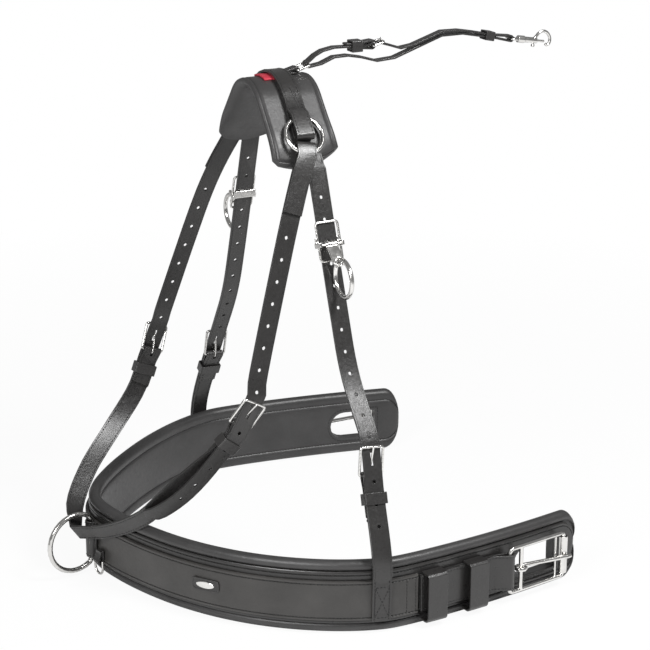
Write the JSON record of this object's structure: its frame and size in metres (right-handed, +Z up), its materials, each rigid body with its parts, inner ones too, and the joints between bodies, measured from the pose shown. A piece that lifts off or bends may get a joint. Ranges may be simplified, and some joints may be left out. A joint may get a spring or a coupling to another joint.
{
  "type": "driving harness breast collar",
  "caption": "Driving-harness breast collar: padded chest band with trace buckles, neck pad and straps, rein terrets, chest ring and a saddle tether with a snap hook.",
  "frame": {"origin": "middle of the neck pad's underside, where it rests on the horse's crest in front of the withers", "axes": "+X towards the horse's tail, -X towards its chest, -Y its near (left) side, +Y its far side, +Z up"},
  "size_m": [0.6584, 0.5636, 0.6213],
  "materials": {
    "black_leather": "satin black",
    "soft_leather": "matt soft black",
    "stainless_steel": "polished",
    "red_leather": "satin red"
  },
  "bodies": {
    "collar": {"band_padding": "soft_leather", "band_cover": "black_leather", "tug_strap": "black_leather", "near_trace_buckle": "stainless_steel", "far_trace_buckle": "stainless_steel", "near_tug_chape": "black_leather", "far_tug_chape": "black_leather", "near_front_box_keeper": "black_leather", "far_front_box_keeper": "black_leather", "near_rear_box_keeper": "black_leather", "far_rear_box_keeper": "black_leather", "front_plate": "black_leather", "front_loop": "black_leather", "front_tab": "black_leather", "neck_pad": "soft_leather", "centre_strap": "black_leather", "dee_chape": "black_leather", "crest_tab": "red_leather", "vee_strap": "black_leather", "near_rear_strap": "black_leather", "far_rear_strap": "black_leather", "near_rear_buckle": "stainless_steel", "far_rear_buckle": "stainless_steel", "near_rear_billet": "black_leather", "far_rear_billet": "black_leather", "near_rear_keeper": "black_leather", "far_rear_keeper": "black_leather", "near_front_strap": "black_leather", "far_front_strap": "black_leather", "near_front_buckle": "stainless_steel", "far_front_buckle": "stainless_steel", "near_front_keeper": "black_leather", "far_front_keeper": "black_leather", "near_terret_frame": "stainless_steel", "far_terret_frame": "stainless_steel"},
    "chest_ring": {"chest_ring": "stainless_steel"},
    "front_dee": {"front_dee": "stainless_steel"},
    "crest_dee": {"crest_dee": "stainless_steel"},
    "tether_tongue": {"tether_tongue": "stainless_steel"},
    "snap_body": {"snap_body": "stainless_steel"},
    "snap_bolt": {"snap_bolt": "stainless_steel"},
    "near_neck_ring": {"near_neck_ring": "stainless_steel"},
    "far_neck_ring": {"far_neck_ring": "stainless_steel"},
    "near_trace_tongue": {"near_trace_tongue": "stainless_steel"},
    "far_trace_tongue": {"far_trace_tongue": "stainless_steel"},
    "near_trace_roller": {"near_trace_roller": "stainless_steel"},
    "far_trace_roller": {"far_trace_roller": "stainless_steel"},
    "near_rear_tongue": {"near_rear_tongue": "stainless_steel"},
    "far_rear_tongue": {"far_rear_tongue": "stainless_steel"},
    "near_front_tongue": {"near_front_tongue": "stainless_steel"},
    "far_front_tongue": {"far_front_tongue": "stainless_steel"},
    "near_terret_lug": {"near_terret_lug": "stainless_steel"},
    "far_terret_lug": {"far_terret_lug": "stainless_steel"},
    "near_terret_ring": {"near_terret_ring": "stainless_steel"},
    "far_terret_ring": {"far_terret_ring": "stainless_steel"},
    "tether": {"tether_strap": "black_leather", "tether_buckle": "stainless_steel", "tether_keeper": "black_leather", "tether_end_keeper": "black_leather", "snap_eye": "stainless_steel"}
  },
  "joints": [
    {"name": "chest_ring_swing", "type": "hinge", "parent": "collar", "child": "chest_ring", "pos_m": [-0.23365, 0.02701, -0.5265], "axis": [0, 0, 1], "range_deg": [-12, 12]},
    {"name": "front_dee_swing", "type": "hinge", "parent": "collar", "child": "front_dee", "pos_m": [-0.23239, 0.00586, -0.5465], "axis": [0.2025, -0.9793, 0], "range_deg": [-80, 12]},
    {"name": "near_neck_ring_turn", "type": "hinge", "parent": "collar", "child": "near_neck_ring", "pos_m": [0, -0.07676, -0.0379], "axis": [0, -0.766, 0.6428], "continuous": true},
    {"name": "far_neck_ring_turn", "type": "hinge", "parent": "collar", "child": "far_neck_ring", "pos_m": [0, 0.07676, -0.0379], "axis": [0, -0.766, -0.6428], "continuous": true},
    {"name": "crest_dee_swing", "type": "hinge", "parent": "collar", "child": "crest_dee", "pos_m": [0.0235, 0, 0.0206], "axis": [0, 1, 0], "range_deg": [-60, 12]},
    {"name": "tether_swing", "type": "hinge", "parent": "crest_dee", "child": "tether", "pos_m": [0.03948, 0, 0.02579], "axis": [0, 1, 0], "range_deg": [-100, 50]},
    {"name": "tether_tongue_swing", "type": "hinge", "parent": "tether", "child": "tether_tongue", "pos_m": [0.12048, 0, 0.04091], "axis": [0, 1, 0], "range_deg": [-3, 0]},
    {"name": "snap_swivel", "type": "hinge", "parent": "tether", "child": "snap_body", "pos_m": [0.32258, 0, 0.0322], "axis": [0.9877, 0, -0.1564], "continuous": true},
    {"name": "snap_bolt_slide", "type": "slide", "parent": "snap_body", "child": "snap_bolt", "axis": [0.9877, 0, -0.1564], "range_m": [-0.0062, 0], "stiffness_N_per_m": 150, "springref_m": 0.004},
    {"name": "near_trace_tongue_swing", "type": "hinge", "parent": "collar", "child": "near_trace_tongue", "pos_m": [0.18855, -0.26, -0.529], "axis": [0, 0, -1], "range_deg": [0, 140]},
    {"name": "near_trace_roller_turn", "type": "hinge", "parent": "collar", "child": "near_trace_roller", "pos_m": [0.25255, -0.24866, -0.529], "axis": [0, 0, 1], "continuous": true},
    {"name": "near_rear_tongue_swing", "type": "hinge", "parent": "collar", "child": "near_rear_tongue", "pos_m": [0.0099, -0.22677, -0.39402], "axis": [0.9951, -0.0406, -0.0906], "range_deg": [0, 7]},
    {"name": "near_front_tongue_swing", "type": "hinge", "parent": "collar", "child": "near_front_tongue", "pos_m": [-0.11142, -0.14203, -0.34357], "axis": [0.8752, 0, -0.4838], "range_deg": [0, 7]},
    {"name": "near_terret_lug_swing", "type": "hinge", "parent": "collar", "child": "near_terret_lug", "pos_m": [0.00886, -0.12715, -0.15224], "axis": [-0.9999, -0.0042, -0.0122], "range_deg": [0, 100]},
    {"name": "near_terret_ring_swing", "type": "hinge", "parent": "near_terret_lug", "child": "near_terret_ring", "pos_m": [0.00913, -0.1458, -0.16734], "axis": [-0.0037, -0.8138, 0.5811], "range_deg": [-25, 25]},
    {"name": "far_trace_tongue_swing", "type": "hinge", "parent": "collar", "child": "far_trace_tongue", "pos_m": [0.18855, 0.26, -0.529], "axis": [0, 0, 1], "range_deg": [0, 140]},
    {"name": "far_trace_roller_turn", "type": "hinge", "parent": "collar", "child": "far_trace_roller", "pos_m": [0.25255, 0.24866, -0.529], "axis": [0, 0, 1], "continuous": true},
    {"name": "far_rear_tongue_swing", "type": "hinge", "parent": "collar", "child": "far_rear_tongue", "pos_m": [0.0099, 0.22677, -0.39402], "axis": [-0.9951, -0.0406, 0.0906], "range_deg": [0, 7]},
    {"name": "far_front_tongue_swing", "type": "hinge", "parent": "collar", "child": "far_front_tongue", "pos_m": [-0.10709, 0.14443, -0.346], "axis": [-0.9315, -0.0259, 0.3628], "range_deg": [0, 7]},
    {"name": "far_terret_lug_swing", "type": "hinge", "parent": "collar", "child": "far_terret_lug", "pos_m": [0.00886, 0.12715, -0.15224], "axis": [0.9999, -0.0042, 0.0122], "range_deg": [0, 100]},
    {"name": "far_terret_ring_swing", "type": "hinge", "parent": "far_terret_lug", "child": "far_terret_ring", "pos_m": [0.00913, 0.1458, -0.16734], "axis": [0.0037, -0.8138, -0.5811], "range_deg": [-25, 25]}
  ]
}
